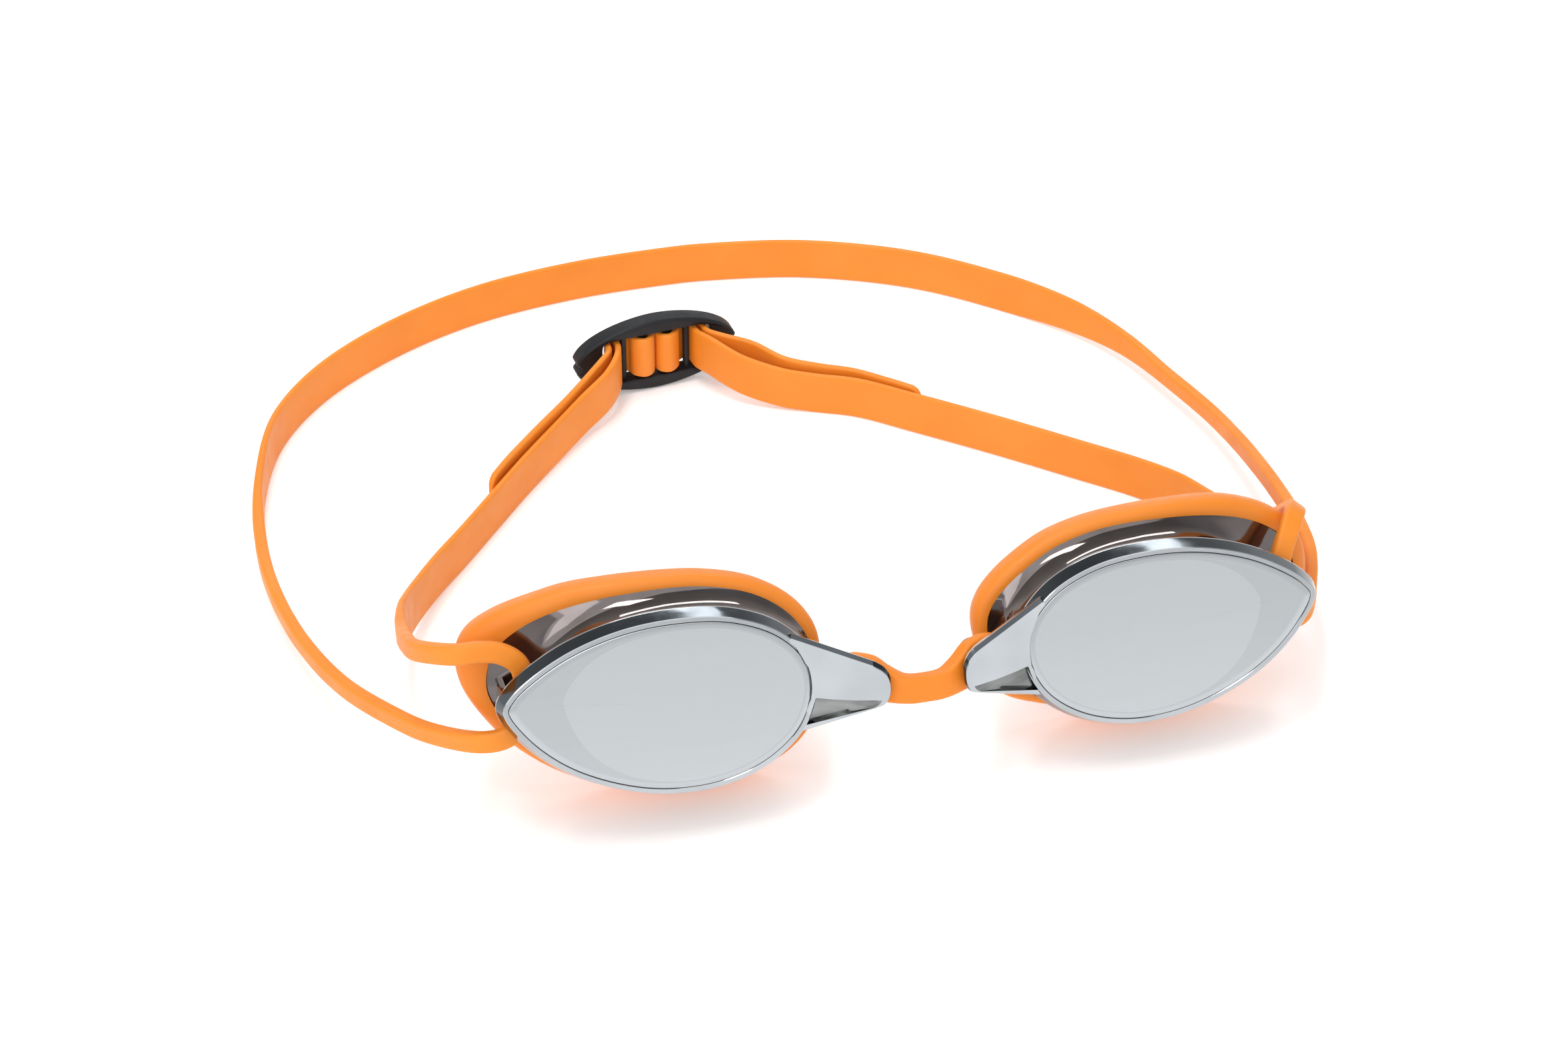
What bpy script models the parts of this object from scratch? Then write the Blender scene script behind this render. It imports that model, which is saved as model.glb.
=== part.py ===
"""Swim goggles lying on a table: two mirrored lenses in eye cups, gaskets, nose bridge, strap, buckle.

The front of the goggles is modelled in its own frame, in which the lens faces stand upright:
+X to the wearer's left, +Y away from the viewer (towards the face), +Z up, lens faces at y = 0.
The frame is then leaned back by LEAN and lifted so that the gaskets rest on the table.
All lengths here are in millimetres; MM turns them into Blender's metres.
"""
import math

import bmesh
import bpy
from mathutils import Matrix, Vector

MM = 0.001

# Where the whole object sits: the origin is under the middle of its box, on the table.
CENTRE_X, CENTRE_Y = -11.5, 90.1
LEAN = math.radians(20.0)
LIFT = 28.6

# Lenses and eye cups
LENS_X = 47.4                 # lens centre from the middle of the goggles
LENS_FRONT, LENS_BACK = 0.1, 2.0
LENS_INSET = 1.3              # lens edge inside the rim's front edge
OUTLINE_STEPS = 56
# Rim's front edge, outwards and upwards from the lens centre: outer tip, top, nose end, bottom
RIM_POINTS = [(33.0, 3.2), (31.4, 5.9), (27.6, 9.0), (19.5, 13.3), (9.0, 16.2), (-2.0, 16.8),
              (-12.0, 15.4), (-20.5, 11.4), (-25.7, 5.4), (-26.8, -1.5), (-23.6, -9.2),
              (-16.5, -15.0), (-7.0, -18.0), (3.5, -17.9), (13.0, -15.3), (22.5, -10.2), (29.6, -3.3)]
# Edge of the cup's rear flange, and the gasket's widest edge, in the same coordinates
FLANGE_POINTS = [(35.0, 1.6), (34.8, 6.4), (32.8, 11.0), (28.6, 14.6), (22.0, 17.6), (12.0, 19.6),
                 (0.0, 20.0), (-10.0, 19.0), (-18.6, 16.4), (-25.6, 11.2), (-30.0, 4.4), (-30.6, -3.2),
                 (-27.2, -11.4), (-19.4, -17.8), (-9.0, -20.6), (3.0, -20.7), (14.0, -18.0), (24.0, -12.6),
                 (32.0, -4.6)]
GASKET_POINTS = [(37.2, 1.6), (37.2, 7.0), (35.2, 12.0), (31.2, 15.9), (26.0, 18.8), (18.6, 21.0),
                 (9.0, 21.7), (0.0, 21.5), (-10.0, 20.4), (-19.0, 17.8), (-26.6, 12.6), (-31.3, 5.4),
                 (-32.0, -3.0), (-29.4, -12.0), (-21.4, -18.8), (-10.6, -21.6), (2.4, -21.8), (14.0, -19.6),
                 (24.6, -14.2), (33.4, -6.0)]
# The wall round the eye is shorter: it leaves the strap's channel free behind the outer tip
EYE_OUTER = 23.6
EYE_SQUEEZE_FROM = 8.0
FLANGE_FRONT, FLANGE_BACK = 11.9, 13.2
TEMPLE_SWEEP, NOSE_SWEEP = 3.0, 1.8   # how much deeper the flange lies outside, and shallower by the nose
CHEEK_SWEEP = 1.6             # how much deeper the cushion grows below

# Strap post behind the rim's outer tip, and the neck of the strap round it
POST_OUT = (30.9, 32.5)
POST_UP = (-1.3, 5.0)
CHANNEL_DEPTH = 8.2

# Nose wings and the pegs behind them
WING_FRONT = [(24.5, -0.25, 9.9), (8.9, -5.3, 2.7), (7.6, -6.3, -0.8), (9.0, -4.6, -4.7), (24.5, 0.9, -10.0)]
WING_THICK = 2.2
PEG_X, PEG_Z = 11.6, -0.2
PEG_R, PEG_HEAD_R = 1.7, 2.9
PEG_LENGTH = 8.2
EYELET_R = 2.2
EYELET_SLOT = 1.5             # extra half length of the right eyelet, which lets the cups fold

# Strap: wide band and narrow neck, width by thickness
BAND_W, BAND_T = 10.4, 1.4
NECK_W, NECK_T = 4.0, 2.6
BAND_Z = BAND_W / 2 + 0.05

# Buckle
BUCKLE_X, BUCKLE_Y, BUCKLE_Z = -23.4, 144.6, 9.4
BUCKLE_TURN = math.radians(7.3)
BUCKLE_L, BUCKLE_H, BUCKLE_DEEP = 39.0, 18.4, 4.4
WINDOW_H = 11.8
BAR_X, BAR_W, BAR_DEEP = 7.6, 1.2, 1.6
POST_X, POST_R = 3.1, 1.1
LOOP_R = 2.15                 # strap's middle round a post

COLOURS = {
    "silicone": ((0.87, 0.28, 0.05), 0.45, 0.0),
    "mirror": ((0.62, 0.65, 0.67), 0.08, 1.0),
    "cup": ((0.30, 0.28, 0.28), 0.12, 0.9),
    "buckle": ((0.02, 0.022, 0.026), 0.5, 0.0),
}


# ---------------------------------------------------------------- helpers

def clear_scene():
    for old in list(bpy.data.objects):
        bpy.data.objects.remove(old, do_unlink=True)


def material(name, kind):
    colour, roughness, metallic = COLOURS[kind]
    made = bpy.data.materials.new(name)
    made.use_nodes = True
    shader = made.node_tree.nodes["Principled BSDF"]
    shader.inputs["Base Color"].default_value = (*colour, 1.0)
    shader.inputs["Roughness"].default_value = roughness
    shader.inputs["Metallic"].default_value = metallic
    return made


def collection(name):
    made = bpy.data.collections.new(name)
    bpy.context.scene.collection.children.link(made)
    return made


def hermite(a, b, ta, tb, t):
    """Cubic from a to b that leaves with slope ta and arrives with slope tb."""
    t2, t3 = t * t, t * t * t
    return a * (2 * t3 - 3 * t2 + 1) + ta * (t3 - 2 * t2 + t) + b * (3 * t2 - 2 * t3) + tb * (t3 - t2)


def smooth_path(points, closed=False, steps=10):
    """A smooth curve through points of any dimension, with slopes that suit uneven spacing."""
    pts = [Vector(p) for p in points]
    n = len(pts)
    at = lambda i: pts[i % n] if closed else pts[max(0, min(n - 1, i))]
    gap = lambda i: max((at(i + 1).to_3d() - at(i).to_3d()).length, 1e-6) ** 0.5
    out = []
    for i in range(n if closed else n - 1):
        before, here, after = gap(i - 1), gap(i), gap(i + 1)
        if not closed and i == 0:
            slope_a = at(1) - at(0)
        else:
            slope_a = ((at(i) - at(i - 1)) / before * here + (at(i + 1) - at(i)) / here * before) \
                * here / (before + here)
        if not closed and i == n - 2:
            slope_b = at(n - 1) - at(n - 2)
        else:
            slope_b = ((at(i + 1) - at(i)) / here * after + (at(i + 2) - at(i + 1)) / after * here) \
                * here / (here + after)
        out += [hermite(at(i), at(i + 1), slope_a, slope_b, k / steps) for k in range(steps)]
    return out if closed else out + [pts[-1]]


def evenly(points, count, closed=False):
    """Points at equal steps along a polyline."""
    line = points + [points[0]] if closed else points
    reach = [0.0]
    for a, b in zip(line, line[1:]):
        reach.append(reach[-1] + (b.to_3d() - a.to_3d()).length)
    out, k = [], 0
    for i in range(count):
        goal = reach[-1] * i / (count if closed else count - 1)
        while k < len(reach) - 2 and reach[k + 1] < goal:
            k += 1
        part = (goal - reach[k]) / max(reach[k + 1] - reach[k], 1e-9)
        out.append(line[k].lerp(line[k + 1], min(1.0, part)))
    return out


def object_from(bm, name, target):
    mesh = bpy.data.meshes.new(name)
    bmesh.ops.recalc_face_normals(bm, faces=bm.faces)
    bm.to_mesh(mesh)
    bm.free()
    made = bpy.data.objects.new(name, mesh)
    target.objects.link(made)
    return made


def loft(name, rings, target, closed_loop):
    """Skin over equal rings of points: a torus when closed_loop, else a bar with two end caps."""
    bm = bmesh.new()
    rows = [[bm.verts.new(p) for p in ring] for ring in rings]
    count, size = len(rows), len(rows[0])
    for i in range(count if closed_loop else count - 1):
        low, high = rows[i], rows[(i + 1) % count]
        for k in range(size):
            bm.faces.new((low[k], low[(k + 1) % size], high[(k + 1) % size], high[k]))
    if not closed_loop:
        bm.faces.new(rows[0])
        bm.faces.new(rows[-1])
    return object_from(bm, name, target)


def block(name, low, high, target):
    """An axis-aligned box between two corners."""
    low, high = Vector(low), Vector(high)
    bm = bmesh.new()
    size = Matrix.Diagonal((*(high - low), 1.0))
    bmesh.ops.create_cube(bm, size=1.0, matrix=Matrix.Translation((low + high) / 2) @ size)
    return object_from(bm, name, target)


def cylinder(name, centre, axis, radius, length, target, segments=24):
    turn = Vector((0, 0, 1)).rotation_difference(Vector(axis)).to_matrix().to_4x4()
    bm = bmesh.new()
    bmesh.ops.create_cone(bm, cap_ends=True, segments=segments, radius1=radius, radius2=radius,
                          depth=length, matrix=Matrix.Translation(centre) @ turn)
    return object_from(bm, name, target)


def combine(base, tool, operation):
    """Boolean between two objects; the tool stays as a hidden guide."""
    step = base.modifiers.new(operation.lower() + "_" + tool.name, "BOOLEAN")
    step.operation = operation
    step.object = tool
    step.solver = "EXACT"
    tool.hide_render = True
    tool.display_type = "WIRE"


def front_matrix():
    """Places the front frame, in millimetres, in the world, in metres."""
    scale = Matrix.Scale(MM, 4)
    lean = Matrix.Rotation(-LEAN, 4, "X")
    return scale @ Matrix.Translation((-CENTRE_X, -CENTRE_Y, LIFT)) @ lean


def table_matrix():
    return Matrix.Scale(MM, 4) @ Matrix.Translation((-CENTRE_X, -CENTRE_Y, 0.0))


def to_table(point):
    """A point of the front frame, in table millimetres before centring."""
    turned = Matrix.Rotation(-LEAN, 3, "X") @ Vector(point)
    return turned + Vector((0, 0, LIFT))


def pivot(name, point, frame, parent, target):
    """An empty on a joint's axis; its axes are those of the frame it belongs to."""
    empty = bpy.data.objects.new(name, None)
    empty.empty_display_size = 8 * MM
    target.objects.link(empty)
    turn = frame.to_3x3().normalized().to_4x4()
    world = Matrix.Translation(frame @ Vector(point)) @ turn
    empty.parent = parent
    empty.matrix_world = world
    bpy.context.view_layer.update()
    return empty


def attach(piece, frame, parent):
    """Moves a mesh from its modelling frame onto its parent, its origin on the joint's axis."""
    bpy.context.view_layer.update()
    piece.data.transform(parent.matrix_world.inverted() @ frame)
    piece.parent = parent


# ---------------------------------------------------------------- eye cups

def outline(corners):
    """A closed outline as even points and outward normals, in (outward, up) coordinates."""
    ring = evenly(smooth_path([(u, v, 0) for u, v in corners], closed=True), OUTLINE_STEPS, closed=True)
    turned = []
    for i, here in enumerate(ring):
        along = (ring[(i + 1) % OUTLINE_STEPS] - ring[i - 1]).normalized()
        turned.append(Vector((-along.y, along.x, 0)))
    middle = sum(ring, Vector((0, 0, 0))) / len(ring)
    sign = 1 if (ring[0] - middle).dot(turned[0]) > 0 else -1
    return ring, [sign * way for way in turned]


def squeeze(u):
    """Draws the outer end in, so that the eye wall ends at EYE_OUTER."""
    if u <= EYE_SQUEEZE_FROM:
        return u
    tip = max(p[0] for p in RIM_POINTS)
    part = (u - EYE_SQUEEZE_FROM) / (tip - EYE_SQUEEZE_FROM)
    room = EYE_OUTER - EYE_SQUEEZE_FROM
    return EYE_SQUEEZE_FROM + room * (1.35 * part - 0.35 * part * part)


def cup_ring(side, offset, depth, eye=0.0, corners=RIM_POINTS, drop=0.0):
    """An outline moved out by offset, at a depth; eye = 1 follows the shorter eye wall."""
    ring, ways = outline(corners)
    out = []
    for here, way in zip(ring, ways):
        moved = here + way * offset
        short = Vector((squeeze(here.x), here.y * (1.0 - 0.06 * max(0.0, here.x) / 33.0), 0)) + way * offset
        at = moved.lerp(short, eye)
        at.y -= drop * (max(0.0, -at.y) / 22.0) ** 2
        out.append(Vector((side * (LENS_X + at.x), depth(at.x, at.y) if callable(depth) else depth, at.y)))
    return out


def face_depth(base, part=1.0, temple=TEMPLE_SWEEP, cheek=0.0):
    """Depth that grows towards the temple and shrinks towards the nose, as a face does."""
    def depth(u, v):
        out = part * (temple * max(0.0, u / 33.0) ** 2 - NOSE_SWEEP * max(0.0, -u / 33.0) ** 2)
        return base + out + cheek * max(0.0, -v / 22.0) ** 2
    return depth


def eye_cup(side, name, target, guides):
    """Rim with its bevel and lens seat, concave wall, flange, strap post, wing and peg."""
    front, back = face_depth(FLANGE_FRONT), face_depth(FLANGE_BACK)
    rim = [(-1.0, 0.0, 0), (0.0, 0.0, 0), (1.1, 3.0, 0), (0.9, 3.9, 0), (0.2, 4.4, 0.9), (-0.3, 5.6, 1),
           (0.1, face_depth(8.0, 0.6), 1), (1.3, face_depth(10.4, 0.9), 0.9)]
    inner = [(-0.9, back, 1), (-1.7, 8.4, 1), (-2.0, 4.0, 1), (-2.2, 2.3, 0.9), (-1.0, 2.3, 0)]
    rings = [cup_ring(side, *ring) for ring in rim]
    rings += [cup_ring(side, 0.0, depth, corners=FLANGE_POINTS) for depth in (front, back)]
    rings += [cup_ring(side, *ring) for ring in inner]
    cup = loft(name, rings, target, True)
    spread = lambda u: side * (LENS_X + u)
    xs = sorted((spread(POST_OUT[0]), spread(POST_OUT[1])))
    post = block(name + "_post", (xs[0], 3.2, POST_UP[0]), (xs[1], front(POST_OUT[0], 0) + 0.6, POST_UP[1]),
                 guides)
    wing, seat = nose_wing(side, name + "_wing", guides)
    pin = cylinder(name + "_peg", (side * PEG_X, PEG_LENGTH / 2 - 3.2, PEG_Z), (0, 1, 0), PEG_R, PEG_LENGTH,
                   guides)
    head = cylinder(name + "_peg_head", (side * PEG_X, PEG_LENGTH - 3.2, PEG_Z), (0, 1, 0), PEG_HEAD_R, 1.4,
                    guides)
    for tool in (post, wing, pin, head):
        combine(cup, tool, "UNION")
    return cup, [post, wing, seat, pin, head]


def nose_wing(side, name, guides):
    """A tapering tab from the rim's nose end to a blunt tip, ending at the lens seat."""
    bm = bmesh.new()
    front = [bm.verts.new((side * x, y, z)) for x, y, z in WING_FRONT]
    back = [bm.verts.new((side * x, y + WING_THICK, z * 0.96)) for x, y, z in WING_FRONT]
    bmesh.ops.convex_hull(bm, input=front + back)
    wing = object_from(bm, name, guides)
    rings = [cup_ring(side, -0.5, -12.0), cup_ring(side, -0.5, 4.0)]
    seat = loft(name + "_seat_cutter", rings, guides, False)
    combine(wing, seat, "DIFFERENCE")
    return wing, seat


def lens(side, name, target):
    """Flat plate that fills the rim."""
    rings = [cup_ring(side, -LENS_INSET - 0.25, LENS_FRONT), cup_ring(side, -LENS_INSET, LENS_FRONT + 0.25),
             cup_ring(side, -LENS_INSET, LENS_BACK)]
    return loft(name, rings, target, False)


def gasket(side, name, target):
    """Soft seal: a lip round the flange's edge and a rounded cushion behind it."""
    inner = cup_ring(side, -1.3, face_depth(17.4, 1.2, TEMPLE_SWEEP + 1.0), 1)
    edge = lambda offset, depth, drop: cup_ring(side, offset, depth, corners=GASKET_POINTS, drop=drop)
    lip = [cup_ring(side, 0.3, face_depth(12.3), corners=FLANGE_POINTS), edge(-0.9, face_depth(12.0), 0),
           edge(0.0, face_depth(13.2), 0), edge(0.0, face_depth(15.4, 1.1), 0.5)]
    cushion = []
    for part, base, drop in ((0.12, 18.4, 1.8), (0.32, 20.0, 2.5), (0.58, 20.2, 2.5), (0.82, 19.2, 1.8)):
        outer = edge(0.0, face_depth(base, 1.2, TEMPLE_SWEEP + 1.5, CHEEK_SWEEP), drop)
        towards = cup_ring(side, -1.3, face_depth(base, 1.2, TEMPLE_SWEEP + 1.0), 1)
        cushion.append([a.lerp(b, part) for a, b in zip(outer, towards)])
    gap = face_depth(FLANGE_BACK + 0.3)
    seat = [inner, cup_ring(side, -1.2, gap, 1), cup_ring(side, 0.3, gap, corners=FLANGE_POINTS)]
    return loft(name, lip + cushion + seat, target, True)


# ---------------------------------------------------------------- nose bridge

def nose_bridge(name, target, guides):
    """A saddle that dips between the wings, with a tall flat end behind each wing."""
    half = [(0.0, -2.0, -3.3, 5.4, 3.6), (3.6, -1.8, -3.1, 5.6, 3.6), (6.8, -0.7, -2.0, 7.2, 3.3),
            (9.2, 0.5, -0.9, 8.8, 3.0), (12.4, 1.8, -0.3, 9.0, 2.8), (16.0, 2.9, -0.3, 8.0, 2.6)]
    stations = [(-x, *rest) for x, *rest in reversed(half[1:])] + half
    rings = []
    for i, (x, y, z, high, thick) in enumerate(stations):
        a, b = stations[max(i - 1, 0)], stations[min(i + 1, len(stations) - 1)]
        along = Vector((b[0] - a[0], b[1] - a[1], 0)).normalized()
        across = Vector((along.y, -along.x, 0))
        centre = Vector((x, y, z))
        rings.append(rounded_section(centre, across, Vector((0, 0, 1)), thick, high, 0.9))
    bridge = loft(name, rings, target, False)
    left = cylinder(name + "_left_eyelet", (-PEG_X, 2, PEG_Z), (0, 1, 0), EYELET_R, 14, guides)
    combine(bridge, left, "DIFFERENCE")
    right = eyelet_slot(name + "_right_eyelet", guides)
    combine(bridge, right, "DIFFERENCE")
    return bridge, [left, right]


def eyelet_slot(name, guides):
    """A round-ended slot, longer along X."""
    bm = bmesh.new()
    ends = 12
    rim = []
    for end, start in ((1, -90), (-1, 90)):
        for k in range(ends + 1):
            angle = math.radians(start + 180.0 * k / ends)
            rim.append((PEG_X + end * EYELET_SLOT + EYELET_R * math.cos(angle),
                        PEG_Z + EYELET_R * math.sin(angle)))
    near = [bm.verts.new((x, -6.0, z)) for x, z in rim]
    far = [bm.verts.new((x, 9.0, z)) for x, z in rim]
    bm.faces.new(near)
    bm.faces.new(far)
    for k in range(len(rim)):
        nxt = (k + 1) % len(rim)
        bm.faces.new((near[k], near[nxt], far[nxt], far[k]))
    return object_from(bm, name, guides)


def rounded_section(centre, across, up, thick, high, corner):
    """An octagon-like section: a rectangle thick by high with cut corners."""
    t, h = thick / 2, high / 2
    c = min(corner, t * 0.8, h * 0.8)
    flat = [(t, h - c), (t - c, h), (c - t, h), (-t, h - c)]
    flat += [(-a, -b) for a, b in flat]
    return [centre + across * a + up * b for a, b in flat]


# ---------------------------------------------------------------- strap

def ribbon(name, stations, target, longest=6.0, sharpest=math.radians(16)):
    """Sweeps a flat section; a station is (point, direction of the width, width, thickness)."""
    steps = 12
    line = smooth_path([p for p, *_ in stations], steps=steps)
    rings, walked, turned, last_way = [], 0.0, 0.0, None
    for i, centre in enumerate(line):
        k, part = divmod(i, steps)
        before, after = stations[k], stations[min(k + 1, len(stations) - 1)]
        part = part / steps
        along = (line[min(i + 1, len(line) - 1)] - line[max(i - 1, 0)]).normalized()
        if last_way is not None:
            walked += (centre - line[i - 1]).length
            turned += along.angle(last_way)
        last_way = along
        if 0 < i < len(line) - 1 and walked < longest and turned < sharpest:
            continue
        walked, turned = 0.0, 0.0
        width_way = Vector(before[1]).lerp(Vector(after[1]), part)
        width_way = (width_way - along * width_way.dot(along)).normalized()
        wide, thick = (before[j] + (after[j] - before[j]) * part for j in (2, 3))
        rings.append(rounded_section(centre, width_way.cross(along), width_way, thick, wide, 0.3 * thick))
    return loft(name, rings, target, False)


UP = (0.0, 0.0, 1.0)


def band(x, y, z=BAND_Z, way=UP):
    return ((x, y, z), way, BAND_W, BAND_T)


def neck(x, y, z, way=UP):
    return ((x, y, z), way, NECK_W, NECK_T)


def in_front(side, out, depth, up, way):
    """A neck station given in the front frame, out from the lens centre."""
    point = to_table((side * (LENS_X + out), depth, up))
    turned = Matrix.Rotation(-LEAN, 3, "X") @ Vector((side * way[0], way[1], way[2]))
    return (tuple(point), tuple(turned), NECK_W, NECK_T)


# The neck's width turns with its path; each row is (out, depth, up, direction of the width)
LEFT_NECK = [(39.5, 8.6, 12.7, (0, 0, -1)), (36.0, 8.3, 12.5, (0, 0, -1)),
             (32.6, CHANNEL_DEPTH, 11.1, (0.4, 0, -0.9)), (29.7, CHANNEL_DEPTH, 8.4, (0.8, 0, -0.6)),
             (28.3, CHANNEL_DEPTH, 4.4, (1, 0, 0)), (28.3, CHANNEL_DEPTH, 0.4, (1, 0, 0)),
             (29.5, CHANNEL_DEPTH, -3.1, (0.8, 0, 0.6)), (32.4, 8.3, -5.0, (0.2, 0, 1)),
             (36.5, 8.8, -5.4, (0, 0, 1))]
RIGHT_NECK = [(37.6, 21.0, 13.2, (0.75, 0, -0.65)), (37.2, 16.6, 14.6, (0.75, 0, -0.65)),
              (35.2, 12.6, 15.0, (0.9, 0, -0.4)), (32.0, 9.8, 13.2, (1, 0, -0.1)), (29.6, 8.6, 9.2, (1, 0, 0)),
              (28.5, CHANNEL_DEPTH, 5.0, (1, 0, 0)), (28.3, CHANNEL_DEPTH, 0.6, (1, 0, 0)),
              (29.4, CHANNEL_DEPTH, -3.0, (0.8, 0, 0.6)), (31.8, 8.8, -4.6, (0.2, 0, 1)),
              (34.6, 10.8, -3.8, (0, 0, 1))]
NECK_GAP = 0.4


def in_buckle(side, x, y, z=0.0):
    """A point of the buckle's own frame, seen with its outer end towards side, on the table."""
    cos, sin = math.cos(BUCKLE_TURN), math.sin(BUCKLE_TURN)
    x *= side
    return (BUCKLE_X + x * cos - y * sin, BUCKLE_Y + x * sin + y * cos, BUCKLE_Z + z)


def post_loop(side):
    """From the tail's side of the buckle, round the post, to the strand: points in plan."""
    inner, outer = BAR_X + BAR_W / 2 + 1.05, BAR_X + BAR_W / 2 + 3.2
    plan = [(outer + 3.0, -6.2), (outer + 0.5, -3.2), (outer, 0.2), (outer - 1.2, 3.0), (BAR_X + 0.9, 4.0),
            (BAR_X - 1.1, 3.7), (POST_X + 1.4, 2.5)]
    for degrees in (90, 135, 180, 225, 270):
        angle = math.radians(degrees)
        plan.append((POST_X + LOOP_R * math.cos(angle), LOOP_R * math.sin(angle)))
    plan += [(POST_X + LOOP_R * 0.87, -0.9), (POST_X + 2.5, 0.9), (BAR_X - 0.4, 2.1), (BAR_X + 1.1, 1.7),
             (inner, -0.1), (inner + 0.3, -2.8), (inner + 2.2, -6.8)]
    return [in_buckle(side, x, y) for x, y in plan]


def strap_pieces(target):
    """The strap from its left tail to its right tail, in five lengths that meet end to end."""
    left_neck = [in_front(-1, *row) for row in LEFT_NECK]
    right_neck = [in_front(1, *row) for row in RIGHT_NECK]
    loop = [(point, (0, 0, -1), BAND_W, BAND_T) for point in post_loop(-1)]
    left_tail = [(-70.0, 102.5, 6.6), (-64.3, 109.8, 6.6), (-56.6, 118.4, 7.0), (-48.2, 126.4, 7.8),
                 (-40.2, 133.6, 8.8)]
    left_strand = [(-36.6, 132.6, 8.4), (-43.4, 126.4, 7.0), (-51.0, 118.6, 5.8), (-59.0, 109.6, BAND_Z),
                   (-67.5, 98.6, BAND_Z), (-76.0, 87.5, BAND_Z), (-83.5, 77.5, 5.8), (-89.8, 66.0, 8.0),
                   (-93.0, 56.0, 12.0)]
    down = (0, 0, -1)
    left_run = [((x, y, z), down, BAND_W, BAND_T) for x, y, z in left_tail] + loop
    left_run += [((x, y, z), down, BAND_W, BAND_T) for x, y, z in left_strand]
    left_run += [((-94.4, 46.5, 17.8), down, 7.0, 2.0), ((-94.8, 37.5, 23.6), down, NECK_W, NECK_T),
                 ((-94.9, 28.5, 29.2), down, NECK_W, NECK_T), ((-93.6, 19.5, 34.2), down, NECK_W, NECK_T),
                 step_off(left_neck[0], left_neck[1], 2.6), step_off(left_neck[0], left_neck[1])]
    ribbon("strap_left_run", left_run, target)
    ribbon("strap_left_neck", left_neck, target)

    rear = [step_off(left_neck[-1], left_neck[-2]), step_off(left_neck[-1], left_neck[-2], 2.4),
            neck(-93.0, 15.5, 16.8), neck(-99.5, 25.5, 14.0), neck(-107.5, 41.0, 10.4),
            neck(-114.0, 60.0, 8.0), neck(-117.8, 80.0, 6.8), neck(-118.6, 98.0, 6.2),
            ((-117.0, 116.0, 5.5), UP, 8.0, 1.8), band(-111.3, 137.0), band(-100.0, 153.5),
            band(-82.0, 168.0), band(-60.0, 178.6), band(-34.0, 184.2), band(-6.0, 185.4), band(20.0, 181.6),
            band(45.0, 171.2), band(64.0, 156.6), ((77.6, 142.4, 5.3), UP, 8.8, 1.6),
            ((85.6, 128.8, 5.4), UP, 6.0, 2.1), neck(91.0, 112.0, 5.8),
            neck(94.8, 96.5, 6.8), neck(95.6, 82.0, 9.5), neck(95.0, 68.5, 12.8), neck(93.7, 53.5, 16.2),
            neck(91.7, 37.0, 19.2), neck(88.9, 24.6, 20.5), step_off(right_neck[-1], right_neck[-2], 2.4),
            step_off(right_neck[-1], right_neck[-2])]
    ribbon("strap_rear_band", rear, target)
    ribbon("strap_right_neck", list(reversed(right_neck)), target)

    loop = [(point, down, BAND_W, BAND_T) for point in reversed(post_loop(1))]
    right_tail = [(-1.6, 137.6, 8.4), (4.6, 132.2, 7.4), (12.0, 128.6, 6.6), (19.6, 125.4, 6.2),
                  (26.8, 120.0, 6.0), (32.6, 114.6, 5.9)]
    right_strand = [(-7.4, 135.0, 8.2), (-4.2, 132.2, 7.4), (3.0, 128.2, 6.0), (10.5, 125.4, BAND_Z),
                    (19.0, 121.6, BAND_Z), (31.0, 112.4, BAND_Z), (46.0, 100.4, BAND_Z), (60.0, 88.5, BAND_Z),
                    (72.5, 77.6, BAND_Z)]
    right_run = [step_off(right_neck[0], right_neck[1], 1.7),
                 ((84.4, 30.2, 28.4), (0.6, 0.2, -0.8), NECK_W, NECK_T),
                 ((83.6, 36.0, 22.6), (0.3, 0.1, -0.95), NECK_W, NECK_T),
                 ((83.4, 44.0, 16.0), down, 5.6, 2.2), ((83.0, 52.5, 10.8), down, 8.4, 1.8),
                 ((81.6, 61.5, 7.4), down, 10.0, 1.5), ((78.4, 69.8, 6.0), down, BAND_W, BAND_T)]
    right_run += [((x, y, z), down, BAND_W, BAND_T) for x, y, z in reversed(right_strand)]
    right_run += loop + [((x, y, z), down, BAND_W, BAND_T) for x, y, z in right_tail]
    ribbon("strap_right_run", right_run, target)


def step_off(end, inner, gap=NECK_GAP):
    """The end station moved on by a small gap, away from the piece that it belongs to."""
    way = (Vector(end[0]) - Vector(inner[0])).normalized()
    return (tuple(Vector(end[0]) + way * gap), *end[1:])


# ---------------------------------------------------------------- buckle

def oval(half_long, half_high, count=48):
    """Oval with slightly pointed ends."""
    out = []
    for k in range(count):
        angle = 2 * math.pi * k / count
        c, s = math.cos(angle), math.sin(angle)
        out.append((half_long * math.copysign(abs(c) ** 1.12, c), half_high * s))
    return out


def prism(name, outline, low_y, high_y, target):
    rings = [[Vector((x, y, z)) for x, z in outline] for y in (low_y, high_y)]
    return loft(name, rings, target, False)


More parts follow.
